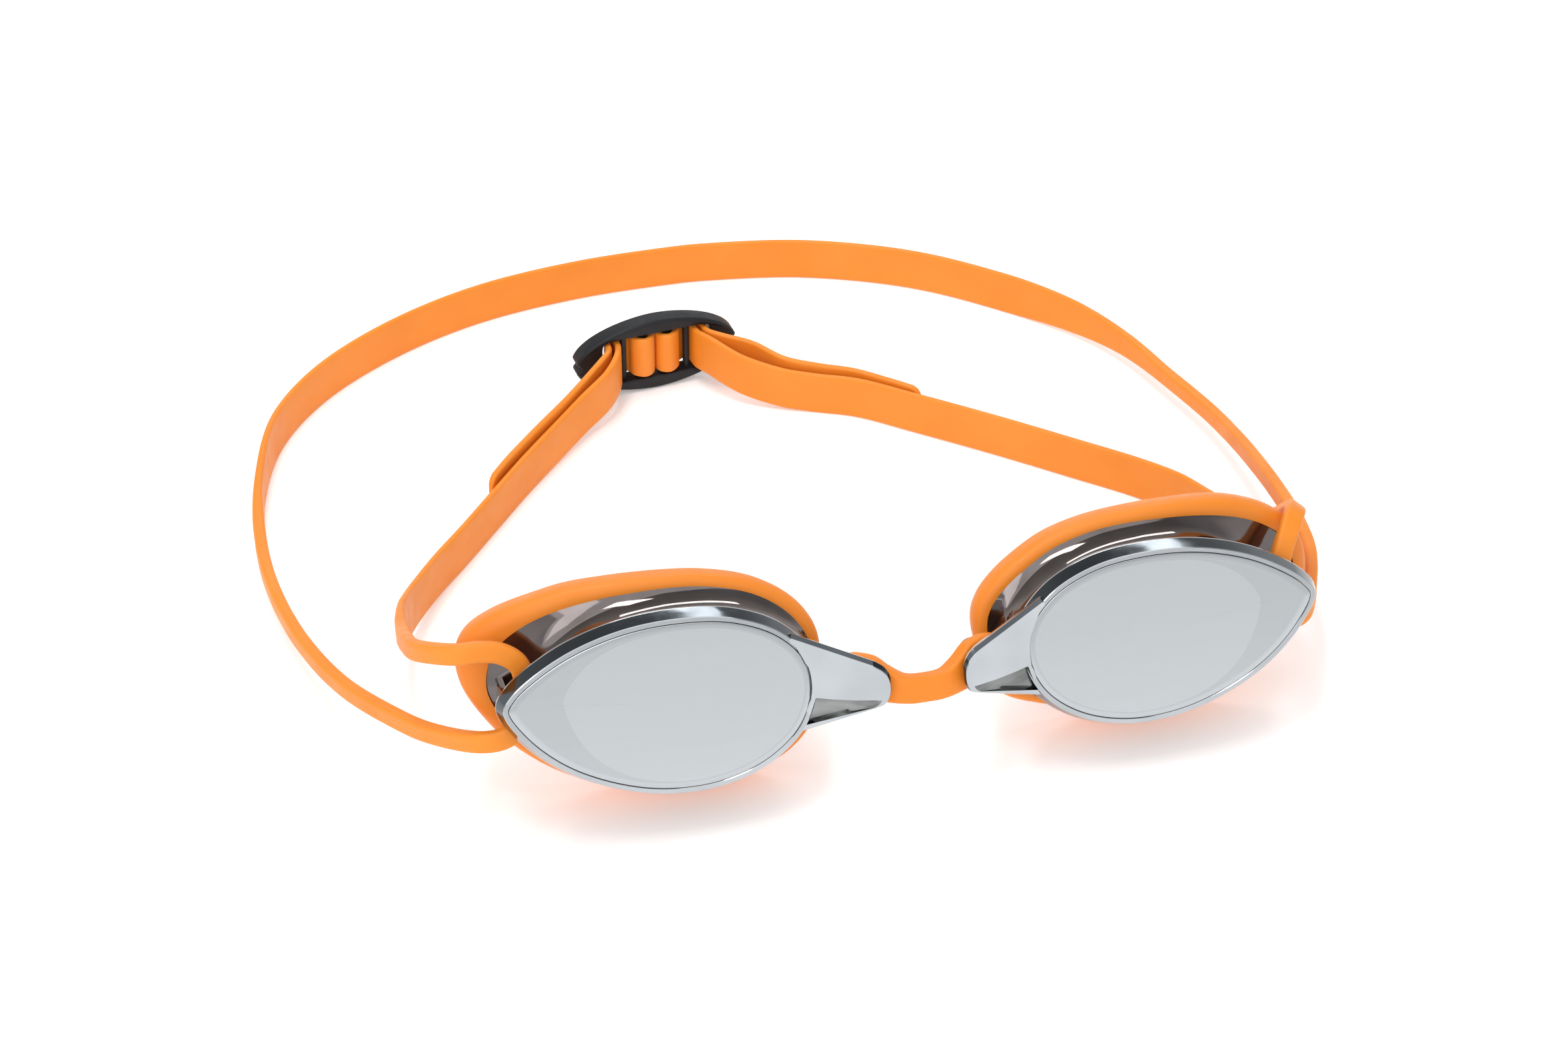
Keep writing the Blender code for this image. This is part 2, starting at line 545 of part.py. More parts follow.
def buckle(name, target, guides):
    """Oval frame with a middle window, two end windows, two bars and two posts."""
    half_l, half_h, half_d = BUCKLE_L / 2, BUCKLE_H / 2, BUCKLE_DEEP / 2
    rings = []
    for y, inset in ((-half_d, 0.7), (-half_d + 0.7, 0.0), (half_d - 0.7, 0.0), (half_d, 0.7)):
        rings.append([Vector((x, y, z)) for x, z in oval(half_l - inset, half_h - inset)])
    body = loft(name, rings, target, False)
    deep = half_d + 2
    tools = [(block(name + "_middle_window", (-BAR_X - BAR_W / 2, -deep, -WINDOW_H / 2),
                    (BAR_X + BAR_W / 2, deep, WINDOW_H / 2), guides), "DIFFERENCE")]
    for side, label in ((-1, "left"), (1, "right")):
        start = BAR_X - BAR_W / 2
        upper = [(start, 5.7), (12.6, 5.6), (14.2, 4.3), (15.6, 2.5), (16.4, 0.0)]
        shape = [(side * x, z) for x, z in upper] + [(side * x, -z) for x, z in reversed(upper[:-1])]
        tools.append((prism(f"{name}_{label}_window", shape, -deep, deep, guides), "DIFFERENCE"))
        notch = [(side * (half_l + 1), 1.5), (side * (half_l - 1.3), 0.0), (side * (half_l + 1), -1.5)]
        tools.append((prism(f"{name}_{label}_notch", notch, -deep, deep, guides), "DIFFERENCE"))
        x = side * BAR_X
        tools.append((block(f"{name}_{label}_bar", (x - BAR_W / 2, -BAR_DEEP / 2, -WINDOW_H / 2 - 1),
                            (x + BAR_W / 2, BAR_DEEP / 2, WINDOW_H / 2 + 1), guides), "UNION"))
        tools.append((cylinder(f"{name}_{label}_post", (side * POST_X, 0, 0), (0, 0, 1), POST_R, WINDOW_H + 2,
                               guides, segments=16), "UNION"))
    for tool, operation in tools:
        combine(body, tool, operation)
    return body, [tool for tool, _ in tools]


# ---------------------------------------------------------------- assembly

def main():
    clear_scene()
    parts, guides = collection("swim_goggles"), collection("cutters")
    paints = {kind: material(kind, kind) for kind in COLOURS}
    front, table = front_matrix(), table_matrix()
    root = pivot("goggles", (0, 0, 0), Matrix.Scale(MM, 4), None, guides)

    neck_pivots = {}
    for side, word in ((-1, "left"), (1, "right")):
        turn = (side * (LENS_X + POST_OUT[0]), CHANNEL_DEPTH, 2.0)
        neck_pivots[side] = pivot(f"{word}_neck_pivot", turn, front, root, guides)
        fold = pivot(f"{word}_cup_pivot", turn, front, neck_pivots[side], guides)
        cup, tools = eye_cup(side, f"{word}_eye_cup", parts, guides)
        for piece in (cup, *tools, lens(side, f"{word}_lens", parts), gasket(side, f"{word}_gasket", parts)):
            attach(piece, front, fold)
        if side < 0:
            bridge_pivot = pivot("bridge_pivot", (-PEG_X, 2.0, PEG_Z), front, fold, guides)
    bridge, tools = nose_bridge("nose_bridge", parts, guides)
    for piece in (bridge, *tools):
        attach(piece, front, bridge_pivot)

    strap_pieces(parts)
    for piece in parts.objects:
        if piece.name.startswith("strap_"):
            side = {"strap_left_neck": -1, "strap_right_neck": 1}.get(piece.name)
            attach(piece, table, neck_pivots.get(side, root))

    turn = Matrix.Rotation(BUCKLE_TURN, 4, "Z")
    place = table @ Matrix.Translation((BUCKLE_X, BUCKLE_Y, BUCKLE_Z)) @ turn
    buckle_pivot = pivot("buckle_pivot", (0, 0, 0), place, root, guides)
    body, tools = buckle("strap_buckle", parts, guides)
    for piece in (body, *tools):
        attach(piece, place, buckle_pivot)

    kinds = {"lens": "mirror", "cup": "cup", "buckle": "buckle"}
    for piece in parts.objects:
        kind = kinds.get(piece.name.rsplit("_", 1)[-1], "silicone")
        piece.data.materials.append(paints[kind])
        piece.data.shade_smooth()
        piece.data.set_sharp_from_angle(angle=math.radians(40))


main()
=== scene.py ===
"""Swim goggles lying on a table: the looks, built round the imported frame.

The front of the goggles is modelled in its own frame, in millimetres: X right, Y away from the
viewer, Z up, lens faces at y = 0. The strap is modelled in the table's frame, in millimetres.
"""
import math

import bmesh
import bpy
from mathutils import Matrix, Vector


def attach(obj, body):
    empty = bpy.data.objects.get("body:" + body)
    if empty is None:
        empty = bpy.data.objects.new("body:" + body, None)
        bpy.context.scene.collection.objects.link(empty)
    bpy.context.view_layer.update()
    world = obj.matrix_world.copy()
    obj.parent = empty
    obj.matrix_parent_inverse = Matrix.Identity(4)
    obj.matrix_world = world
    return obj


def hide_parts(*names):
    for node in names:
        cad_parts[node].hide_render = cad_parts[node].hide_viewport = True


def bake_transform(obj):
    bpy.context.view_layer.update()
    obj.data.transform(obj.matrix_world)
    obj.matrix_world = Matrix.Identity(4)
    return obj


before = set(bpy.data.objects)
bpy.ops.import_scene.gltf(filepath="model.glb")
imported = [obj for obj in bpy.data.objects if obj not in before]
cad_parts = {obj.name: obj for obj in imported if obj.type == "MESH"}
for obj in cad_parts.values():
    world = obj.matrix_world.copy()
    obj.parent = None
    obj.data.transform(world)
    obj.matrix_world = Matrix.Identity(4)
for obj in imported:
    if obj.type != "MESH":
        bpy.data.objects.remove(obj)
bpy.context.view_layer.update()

MM = 0.001
CENTRE_X, CENTRE_Y = -11.5, 90.1    # middle of the whole object, which is the world's origin
LEAN = math.radians(20.0)           # how far the lens faces lean back
LIFT = 28.6                         # height of the lens centres over the table
FRONT = (Matrix.Scale(MM, 4) @ Matrix.Translation((-CENTRE_X, -CENTRE_Y, LIFT))
         @ Matrix.Rotation(-LEAN, 4, "X"))
TABLE = Matrix.Scale(MM, 4) @ Matrix.Translation((-CENTRE_X, -CENTRE_Y, 0.0))

# Cups and seals. Outlines are (out, up) from the lens centre, out towards the temple.
LENS_X = 47.4                       # lens centre from the middle of the goggles
AROUND = 176                        # points round each outline
RIM_POINTS = [(33.0, 3.2), (31.4, 5.9), (27.6, 9.0), (19.5, 13.3), (9.0, 16.2), (-2.0, 16.8),
              (-12.0, 15.4), (-20.5, 11.4), (-25.7, 5.4), (-26.8, -1.5), (-23.6, -9.2),
              (-16.5, -15.0), (-7.0, -18.0), (3.5, -17.9), (13.0, -15.3), (22.5, -10.2), (29.6, -3.3)]
FLANGE_POINTS = [(35.0, 1.6), (34.8, 6.4), (32.8, 11.0), (28.6, 14.6), (22.0, 17.6), (12.0, 19.6),
                 (0.0, 20.0), (-10.0, 19.0), (-18.6, 16.4), (-25.6, 11.2), (-30.0, 4.4), (-30.6, -3.2),
                 (-27.2, -11.4), (-19.4, -17.8), (-9.0, -20.6), (3.0, -20.7), (14.0, -18.0),
                 (24.0, -12.6), (32.0, -4.6)]
GASKET_POINTS = [(37.2, 1.6), (37.2, 7.0), (35.2, 12.0), (31.2, 15.9), (26.0, 18.8), (18.6, 21.0),
                 (9.0, 21.7), (0.0, 21.5), (-10.0, 20.4), (-19.0, 17.8), (-26.6, 12.6), (-31.3, 5.4),
                 (-32.0, -3.0), (-29.4, -12.0), (-21.4, -18.8), (-10.6, -21.6), (2.4, -21.8),
                 (14.0, -19.6), (24.6, -14.2), (33.4, -6.0)]
HALF_LONG, HALF_HIGH = 33.0, 22.0   # lengths that the sweeps below are measured against
EYE_OUTER, EYE_SQUEEZE_FROM = 23.6, 8.0
FLANGE_FRONT, FLANGE_BACK = 11.9, 13.2
TEMPLE_SWEEP, NOSE_SWEEP, CHEEK_SWEEP = 3.0, 1.8, 1.6
LEFT_FLARE = 2.8                    # how far the left seal bulges at its upper outer corner
FLARE_AT, FLARE_REACH = (36.0, 11.0), 17.0
# The flange's and the seal's nose side, by side: where, how far round it, and the shift out and up.
NOSE_SHIFTS = {
    -1: [(-30.0, -3.0, 20.0, 2.0, 0.7)],
    1: [(-31.0, 6.0, 15.0, -2.0, 0.4), (-19.0, -20.0, 17.0, 0.6, 3.0)]}

# Strap post, the channel that the neck lies in, peg and the bridge's eyelets.
POST_OUT, POST_UP = (30.9, 32.5), (-1.3, 5.0)
CHANNEL_DEPTH = 8.2
PEG_X, PEG_Z, PEG_R, PEG_HEAD_R = 11.6, -0.2, 1.7, 2.9
EYELET_R, EYELET_SLOT = 2.2, 1.5    # the right eyelet is a slot, this much longer each way

# Strap and buckle.
BAND_W, BAND_T, NECK_W, NECK_T = 10.4, 1.4, 4.0, 2.6
BAND_Z = BAND_W / 2 + 0.05          # middle of a band that stands on its edge on the table
BUCKLE_X, BUCKLE_Y, BUCKLE_Z = -23.4, 144.6, 9.4
BUCKLE_TURN = math.radians(7.3)
BUCKLE_L, BUCKLE_H, BUCKLE_DEEP = 39.0, 18.4, 4.4
BUCKLE_EDGE_R, HOLE_EDGE_R = 0.75, 0.5
NOTCH_DEEP, NOTCH_HIGH = 1.2, 1.3   # nick at each end of the oval; high is half its height
BAR_X, BAR_W, BAR_DEEP = 7.6, 1.2, 1.6
BAR_HALF = 6.6                      # half a bar's or a post's height
POST_X, POST_R, LOOP_R = 3.0, 1.1, 2.22

# Camera, in the front frame.
CAMERA_TURN, CAMERA_TIP, CAMERA_ROLL = math.radians(-11.3), math.radians(18.0), math.radians(-4.35)
CAMERA_AIM, CAMERA_DISTANCE = Vector((-24.5, 0, 32.7)), 559.0
CAMERA_SENSOR, CAMERA_FOCAL = 36.0, 68.8483


# ---------------------------------------------------------------- materials

def shader_of(name, **values):
    """A material and its node tools; values set the shader's inputs by name."""
    made = bpy.data.materials.new(name)
    made.use_nodes = True
    shader = made.node_tree.nodes["Principled BSDF"]
    for key, value in values.items():
        shader.inputs[key.replace("_", " ")].default_value = value
    return made, made.node_tree.nodes, made.node_tree.links, shader


def noise(nodes, links, scale, detail=3.0, stretch=(1, 1, 1)):
    """Noise over the piece's own coordinates; scale is in features per metre."""
    where = nodes.new("ShaderNodeTexCoord")
    mapping = nodes.new("ShaderNodeMapping")
    mapping.inputs["Scale"].default_value = stretch
    grain = nodes.new("ShaderNodeTexNoise")
    grain.inputs["Scale"].default_value = scale
    grain.inputs["Detail"].default_value = detail
    links.new(where.outputs["Object"], mapping.inputs["Vector"])
    links.new(mapping.outputs["Vector"], grain.inputs["Vector"])
    return grain.outputs["Fac"]


def ramp(nodes, links, value, low, high, colours=None):
    """Maps a noise value to a number from low to high, or between two colours."""
    if colours:
        made = nodes.new("ShaderNodeValToRGB")
        made.color_ramp.elements[0].position = low
        made.color_ramp.elements[1].position = high
        made.color_ramp.elements[0].color = (*colours[0], 1)
        made.color_ramp.elements[1].color = (*colours[1], 1)
        links.new(value, made.inputs["Fac"])
        return made.outputs["Color"]
    made = nodes.new("ShaderNodeMapRange")
    made.inputs["From Min"].default_value = 0.3
    made.inputs["From Max"].default_value = 0.7
    made.inputs["To Min"].default_value = low
    made.inputs["To Max"].default_value = high
    links.new(value, made.inputs["Value"])
    return made.outputs["Result"]


def bump(nodes, links, shader, value, strength, distance):
    """Fine relief from a noise value; distance is in metres."""
    made = nodes.new("ShaderNodeBump")
    made.inputs["Strength"].default_value = strength
    made.inputs["Distance"].default_value = distance
    links.new(value, made.inputs["Height"])
    links.new(made.outputs["Normal"], shader.inputs["Normal"])


def silicone(name, dark, light, depth=0.0):
    """Satin rubber with a fine grain; depth is the weight of its subsurface scattering."""
    made, nodes, links, shader = shader_of(name, Subsurface_Weight=depth, Subsurface_Scale=0.003,
                                           Specular_IOR_Level=0.35)
    shader.inputs["Subsurface Radius"].default_value = (1.0, 0.4, 0.12)
    cloud = noise(nodes, links, 55.0, 2.0)
    links.new(ramp(nodes, links, cloud, 0.3, 0.7, (dark, light)), shader.inputs["Base Color"])
    links.new(ramp(nodes, links, noise(nodes, links, 260.0), 0.40, 0.54), shader.inputs["Roughness"])
    bump(nodes, links, shader, noise(nodes, links, 2400.0, 4.0), 0.12, 0.00006)
    return made


def mirror(name, dark, light, rough, metallic=1.0, coat=0.0, streak=(1, 1, 1)):
    """Metallised plastic; rough is the roughness's range, and streak stretches its clouds."""
    made, nodes, links, shader = shader_of(name, Metallic=metallic, Coat_Weight=coat, Coat_Roughness=0.04)
    cloud = noise(nodes, links, 90.0, 3.0, streak)
    links.new(ramp(nodes, links, cloud, 0.25, 0.75, (dark, light)), shader.inputs["Base Color"])
    links.new(ramp(nodes, links, noise(nodes, links, 420.0, 3.0, streak), *rough), shader.inputs["Roughness"])
    bump(nodes, links, shader, noise(nodes, links, 700.0, 3.0, streak), 0.05, 0.00003)
    return made


def matte_black(name):
    """Moulded black plastic with a fine grain."""
    made, nodes, links, shader = shader_of(name, Specular_IOR_Level=0.3)
    cloud = noise(nodes, links, 120.0)
    colours = ((0.007, 0.008, 0.010), (0.012, 0.013, 0.016))
    links.new(ramp(nodes, links, cloud, 0.3, 0.7, colours), shader.inputs["Base Color"])
    links.new(ramp(nodes, links, noise(nodes, links, 500.0), 0.42, 0.56), shader.inputs["Roughness"])
    bump(nodes, links, shader, noise(nodes, links, 3200.0, 5.0), 0.3, 0.00008)
    return made


ORANGE = {
    "strap": silicone("strap_silicone", (0.80, 0.236, 0.016), (0.84, 0.262, 0.024)),
    "gasket": silicone("gasket_silicone", (0.775, 0.222, 0.016), (0.815, 0.246, 0.024), 0.12),
    "bridge": silicone("bridge_silicone", (0.80, 0.218, 0.012), (0.84, 0.242, 0.018), 0.12),
}
LENS_ZONE = mirror("lens_mirror", (0.512, 0.536, 0.552), (0.524, 0.548, 0.564), (0.20, 0.24),
                   streak=(0.1, 1, 1))
LENS_EDGE = mirror("lens_edge_mirror", (0.468, 0.492, 0.508), (0.480, 0.504, 0.520), (0.20, 0.24),
                   streak=(0.1, 1, 1))
PLATE = mirror("rim_plate", (0.42, 0.445, 0.465), (0.50, 0.52, 0.54), (0.08, 0.14))
BEVEL = mirror("rim_bevel", (0.060, 0.070, 0.078), (0.090, 0.102, 0.112), (0.06, 0.12), coat=0.3)
WALL = mirror("cup_wall", (0.105, 0.078, 0.066), (0.185, 0.158, 0.146), (0.04, 0.09),
              metallic=0.92, coat=0.9)
FLANGE = mirror("cup_flange", (0.090, 0.068, 0.062), (0.170, 0.150, 0.150), (0.05, 0.11),
                metallic=0.92, coat=0.8)
RECESS = mirror("wing_recess", (0.09, 0.10, 0.09), (0.33, 0.335, 0.335), (0.05, 0.1), streak=(1, 1, 3.5))
BLACK = matte_black("buckle_plastic")


# ---------------------------------------------------------------- curves and skins

def ease(t):
    """From 0 to 1 with level ends."""
    return t * t * (3 - 2 * t)


def hermite(a, b, ta, tb, t):
    """Point at t on the curve from a to b with slopes ta and tb."""
    t2, t3 = t * t, t * t * t
    return a * (2 * t3 - 3 * t2 + 1) + ta * (t3 - 2 * t2 + t) + b * (3 * t2 - 2 * t3) + tb * (t3 - t2)


def smooth_path(points, closed=False, steps=10):
    """A smooth curve through points, with slopes that suit uneven spacing."""
    pts = [Vector(p) for p in points]
    n = len(pts)
    at = lambda i: pts[i % n] if closed else pts[max(0, min(n - 1, i))]
    gap = lambda i: max((at(i + 1) - at(i)).length, 1e-6) ** 0.5
    out = []
    for i in range(n if closed else n - 1):
        before, here, after = gap(i - 1), gap(i), gap(i + 1)
        if not closed and i == 0:
            slope_a = at(1) - at(0)
        else:
            slope_a = ((at(i) - at(i - 1)) / before * here + (at(i + 1) - at(i)) / here * before) \
                * here / (before + here)
        if not closed and i == n - 2:
            slope_b = at(n - 1) - at(n - 2)
        else:
            slope_b = ((at(i + 1) - at(i)) / here * after + (at(i + 2) - at(i + 1)) / after * here) \
                * here / (here + after)
        out += [hermite(at(i), at(i + 1), slope_a, slope_b, k / steps) for k in range(steps)]
    return out if closed else out + [pts[-1]]


def evenly(points, count, closed=False):
    """Points at equal steps along a polyline."""
    line = points + [points[0]] if closed else points
    reach = [0.0]
    for a, b in zip(line, line[1:]):
        reach.append(reach[-1] + (b - a).length)
    out, k = [], 0
    for i in range(count):
        goal = reach[-1] * i / (count if closed else count - 1)
        while k < len(reach) - 2 and reach[k + 1] < goal:
            k += 1
        part = (goal - reach[k]) / max(reach[k + 1] - reach[k], 1e-9)
        out.append(line[k].lerp(line[k + 1], min(1.0, part)))
    return out


def piece(bm, name, place, materials, sharp=35.0):
    """A smooth-shaded object in the world's metres, from a mesh in millimetres of its own frame."""
    bmesh.ops.recalc_face_normals(bm, faces=bm.faces)
    mesh = bpy.data.meshes.new(name)
    bm.to_mesh(mesh)
    bm.free()
    mesh.transform(place)
    made = bpy.data.objects.new(name, mesh)
    bpy.context.scene.collection.objects.link(made)
    for one in materials:
        mesh.materials.append(one)
    mesh.shade_smooth()
    mesh.set_sharp_from_angle(angle=math.radians(sharp))
    return made


def skin(rings, looped, paint=None):
    """Faces over equal closed rings, joined end to end or capped; paint gives each band its material."""
    bm = bmesh.new()
    rows = [[bm.verts.new(p) for p in ring] for ring in rings]
    count, size = len(rows), len(rows[0])
    for i in range(count if looped else count - 1):
        low, high = rows[i], rows[(i + 1) % count]
        for k in range(size):
            face = bm.faces.new((low[k], low[(k + 1) % size], high[(k + 1) % size], high[k]))
            face.material_index = paint[i] if paint else 0
    if not looped:
        bm.faces.new(rows[0])
        bm.faces.new(rows[-1])
    return bm


def between(rings, creases, steps, paint):
    """Adds rings to a closed set of rings so that the skin curves, except across the creases."""
    n = len(rings)
    out, bands = [], []
    for i in range(n):
        a, b = rings[i], rings[(i + 1) % n]
        before, after = rings[(i - 1) % n], rings[(i + 2) % n]
        cut_a, cut_b = i in creases, (i + 1) % n in creases
        for k in range(steps[i]):
            ring = []
            for p, q, r, s in zip(before, a, b, after):
                slope_a = (r - q) if cut_a else bend(p, q, r)
                slope_b = (r - q) if cut_b else bend(q, r, s, True)
                ring.append(hermite(q, r, slope_a, slope_b, k / steps[i]))
            out.append(ring)
            bands.append(paint[i])
    return out, bands


def bend(p, q, r, arriving=False):
    """Slope at q, scaled to the span after it, or to the span before it when arriving."""
    one, two = max((q - p).length, 1e-4) ** 0.5, max((r - q).length, 1e-4) ** 0.5
    slope = ((q - p) / one * two + (r - q) / two * one) / (one + two)
    return slope * (one if arriving else two)


def rounded_rectangle(thick, high, radius, per_corner=5, per_side=3):
    """Closed outline of a rectangle with round corners, as (across, up) pairs."""
    t, h = thick / 2, high / 2
    r = min(radius, t * 0.98, h * 0.98)
    out = []
    middles = ((0, (t - r, h - r)), (90, (r - t, h - r)), (180, (r - t, r - h)), (270, (t - r, r - h)))
    for start, (cx, cy) in middles:
        for k in range(per_corner):
            angle = math.radians(start + 90.0 * k / (per_corner - 1))
            out.append((cx + r * math.cos(angle), cy + r * math.sin(angle)))
        a = out[-1]
        turn = {0: (r - t, h), 90: (-t, r - h), 180: (t - r, -h), 270: (t, h - r)}[start]
        for k in range(1, per_side):
            out.append((a[0] + (turn[0] - a[0]) * k / per_side, a[1] + (turn[1] - a[1]) * k / per_side))
    return out


# ---------------------------------------------------------------- eye cups

def outline(corners):
    """Even points round an outline, and the outward direction at each."""
    ring = evenly(smooth_path([(u, v, 0) for u, v in corners], closed=True), AROUND, closed=True)
    turned = []
    for i, here in enumerate(ring):
        along = (ring[(i + 1) % AROUND] - ring[i - 1]).normalized()
        turned.append(Vector((-along.y, along.x, 0)))
    middle = sum(ring, Vector((0, 0, 0))) / len(ring)
    sign = 1 if (ring[0] - middle).dot(turned[0]) > 0 else -1
    return ring, [sign * way for way in turned]


def squeeze(u):
    """Draws the outer end in, so that the eye wall ends at EYE_OUTER."""
    if u <= EYE_SQUEEZE_FROM:
        return u
    tip = max(p[0] for p in RIM_POINTS)
    part = (u - EYE_SQUEEZE_FROM) / (tip - EYE_SQUEEZE_FROM)
    return EYE_SQUEEZE_FROM + (EYE_OUTER - EYE_SQUEEZE_FROM) * (1.35 * part - 0.35 * part * part)


def nose_shift(side, at):
    """How far the flange and the seal stand from their plain outline on the nose side."""
    total = Vector((0, 0, 0))
    for out, up, reach, sideways, upward in NOSE_SHIFTS[side]:
        near = max(0.0, 1.0 - math.hypot(at.x - out, at.y - up) / reach)
        total += Vector((sideways, upward, 0)) * ease(near)
    return total


RIM, FLANGE_EDGE, GASKET_EDGE = outline(RIM_POINTS), outline(FLANGE_POINTS), outline(GASKET_POINTS)


def cup_ring(side, offset, depth, eye=0.0, edge=RIM, drop=0.0):
    """One ring of a cup or seal; offset grows its edge, eye (0 to 1) draws it in to the eye wall."""
    out = []
    for here, way in zip(*edge):
        moved = here + way * offset
        flat = here.y * (1.0 - 0.06 * max(0.0, here.x) / HALF_LONG)
        short = Vector((squeeze(here.x), flat, 0)) + way * offset
        at = moved.lerp(short, eye)
        at.y -= drop * (max(0.0, -at.y) / HALF_HIGH) ** 2
        if edge is not RIM:
            at += nose_shift(side, at)
        y = depth(at.x, at.y) if callable(depth) else depth
        out.append(Vector((side * (LENS_X + at.x), y, at.y)))
    return out


def face_depth(base, part=1.0, temple=TEMPLE_SWEEP, cheek=0.0):
    """Depth that grows towards the temple and shrinks towards the nose, as a face does."""
    def depth(u, v):
        swept = temple * max(0.0, u / HALF_LONG) ** 2 - NOSE_SWEEP * max(0.0, -u / HALF_LONG) ** 2
        return base + part * swept + cheek * max(0.0, -v / HALF_HIGH) ** 2
    return depth


def eye_cup(side, word):
    """Rim plate with its chamfers and dark bevel, concave wall, flange and inner wall."""
    front, back = face_depth(FLANGE_FRONT), face_depth(FLANGE_BACK)
    plate, bevel, wall, flange = range(4)
    rows = [(-1.0, 2.3, 0, wall), (-1.0, 0.10, 0, plate), (-0.90, 0.0, 0, plate), (-0.16, 0.0, 0, plate),
            (0.02, 0.10, 0, bevel), (1.02, 2.82, 0, plate), (1.10, 3.05, 0, plate), (1.06, 3.32, 0, wall),
            (0.9, 3.9, 0, wall), (0.2, 4.4, 0.9, wall), (-0.3, 5.6, 1, wall),
            (0.1, face_depth(8.0, 0.6), 1, wall), (1.3, face_depth(10.4, 0.9), 0.9, flange)]
    rings = [cup_ring(side, *row[:3]) for row in rows]
    paint = [row[3] for row in rows]
    for offset, depth in ((0.0, front), (0.14, face_depth(FLANGE_FRONT + 0.25)), (0.14, back)):
        rings.append(cup_ring(side, offset, depth, edge=FLANGE_EDGE))
        paint.append(flange)
    inner = [(-0.9, back, 1), (-1.7, 8.4, 1), (-2.0, 4.0, 1), (-2.2, 2.3, 0.9)]
    rings += [cup_ring(side, *row) for row in inner]
    paint += [wall] * len(inner)
    creases = {0, 1, 2, 3, 4, 5, 6, 7, 8, 13, 14, 15, 16, 19}
    steps = [1, 1, 1, 1, 2, 1, 1, 1, 3, 4, 5, 5, 4, 1, 1, 2, 4, 3, 2, 1]
    rings, paint = between(rings, creases, steps, paint)
    return piece(skin(rings, True, paint), f"{word}_cup_shell", FRONT, (PLATE, BEVEL, WALL, FLANGE), 28)


def lens(side, word):
    """Flat mirrored plate with a fine edge break; the zone over the eye is its own faces."""
    spec = [(-1.09, 2.0, 0), (-1.09, 0.20, 0), (-1.13, 0.09, 0), (-1.24, 0.04, 0), (-2.2, 0.04, 0.05),
            (-2.4, 0.04, 0.97)]
    rings = [cup_ring(side, *row) for row in spec]
    zone = rings[-1]
    middle = sum(zone, Vector((0, 0, 0))) / AROUND
    for part in (0.25, 0.5, 0.75, 0.93):
        rings.append([p.lerp(middle, part) for p in zone])
    paint = [1, 1, 1, 1, 1, 0, 0, 0, 0, 0]
    return piece(skin(rings, False, paint), f"{word}_lens_plate", FRONT, (LENS_ZONE, LENS_EDGE), 25)


def gasket(side, word):
    """Soft seal: a lip round the flange's edge and a rounded cushion behind it."""
    flare = LEFT_FLARE if side < 0 else 0.0
    inner = cup_ring(side, -1.3, face_depth(17.4, 1.2, TEMPLE_SWEEP + 1.0), 1)

    def seal_ring(offset, depth, drop):
        ring = cup_ring(side, offset, depth, edge=GASKET_EDGE, drop=drop)
        for point in ring:
            out, up = side * point.x - LENS_X, point.z
            near = max(0.0, 1.0 - math.hypot(out - FLARE_AT[0], up - FLARE_AT[1]) / FLARE_REACH)
            point += Vector((side * 0.85, 0, 0.5)) * flare * ease(near)
        return ring

    rings = [cup_ring(side, -0.9, face_depth(12.3), edge=FLANGE_EDGE),
             cup_ring(side, -0.95, face_depth(11.35), edge=FLANGE_EDGE),
             seal_ring(-0.9, face_depth(11.6), 0),
             seal_ring(0.0, face_depth(13.0), 0),
             seal_ring(0.0, face_depth(15.4, 1.1), 0.5)]
    for part, base, drop in ((0.12, 18.4, 1.8), (0.32, 20.0, 2.5), (0.58, 20.2, 2.5), (0.82, 19.2, 1.8)):
        outer = seal_ring(0.0, face_depth(base, 1.2, TEMPLE_SWEEP + 1.5, CHEEK_SWEEP), drop)
        towards = cup_ring(side, -1.3, face_depth(base, 1.2, TEMPLE_SWEEP + 1.0), 1)
        rings.append([a.lerp(b, part) for a, b in zip(outer, towards)])
    gap = face_depth(FLANGE_BACK + 0.3)
    rings += [inner, cup_ring(side, -1.2, gap, 1), cup_ring(side, 0.3, gap, edge=FLANGE_EDGE)]
    steps = [1, 2, 3, 3, 4, 4, 4, 4, 4, 3, 3, 1]
    rings, paint = between(rings, {0, 10, 11}, steps, [0] * len(rings))
    return piece(skin(rings, True, paint), f"{word}_gasket_seal", FRONT, (ORANGE["gasket"],), 50)


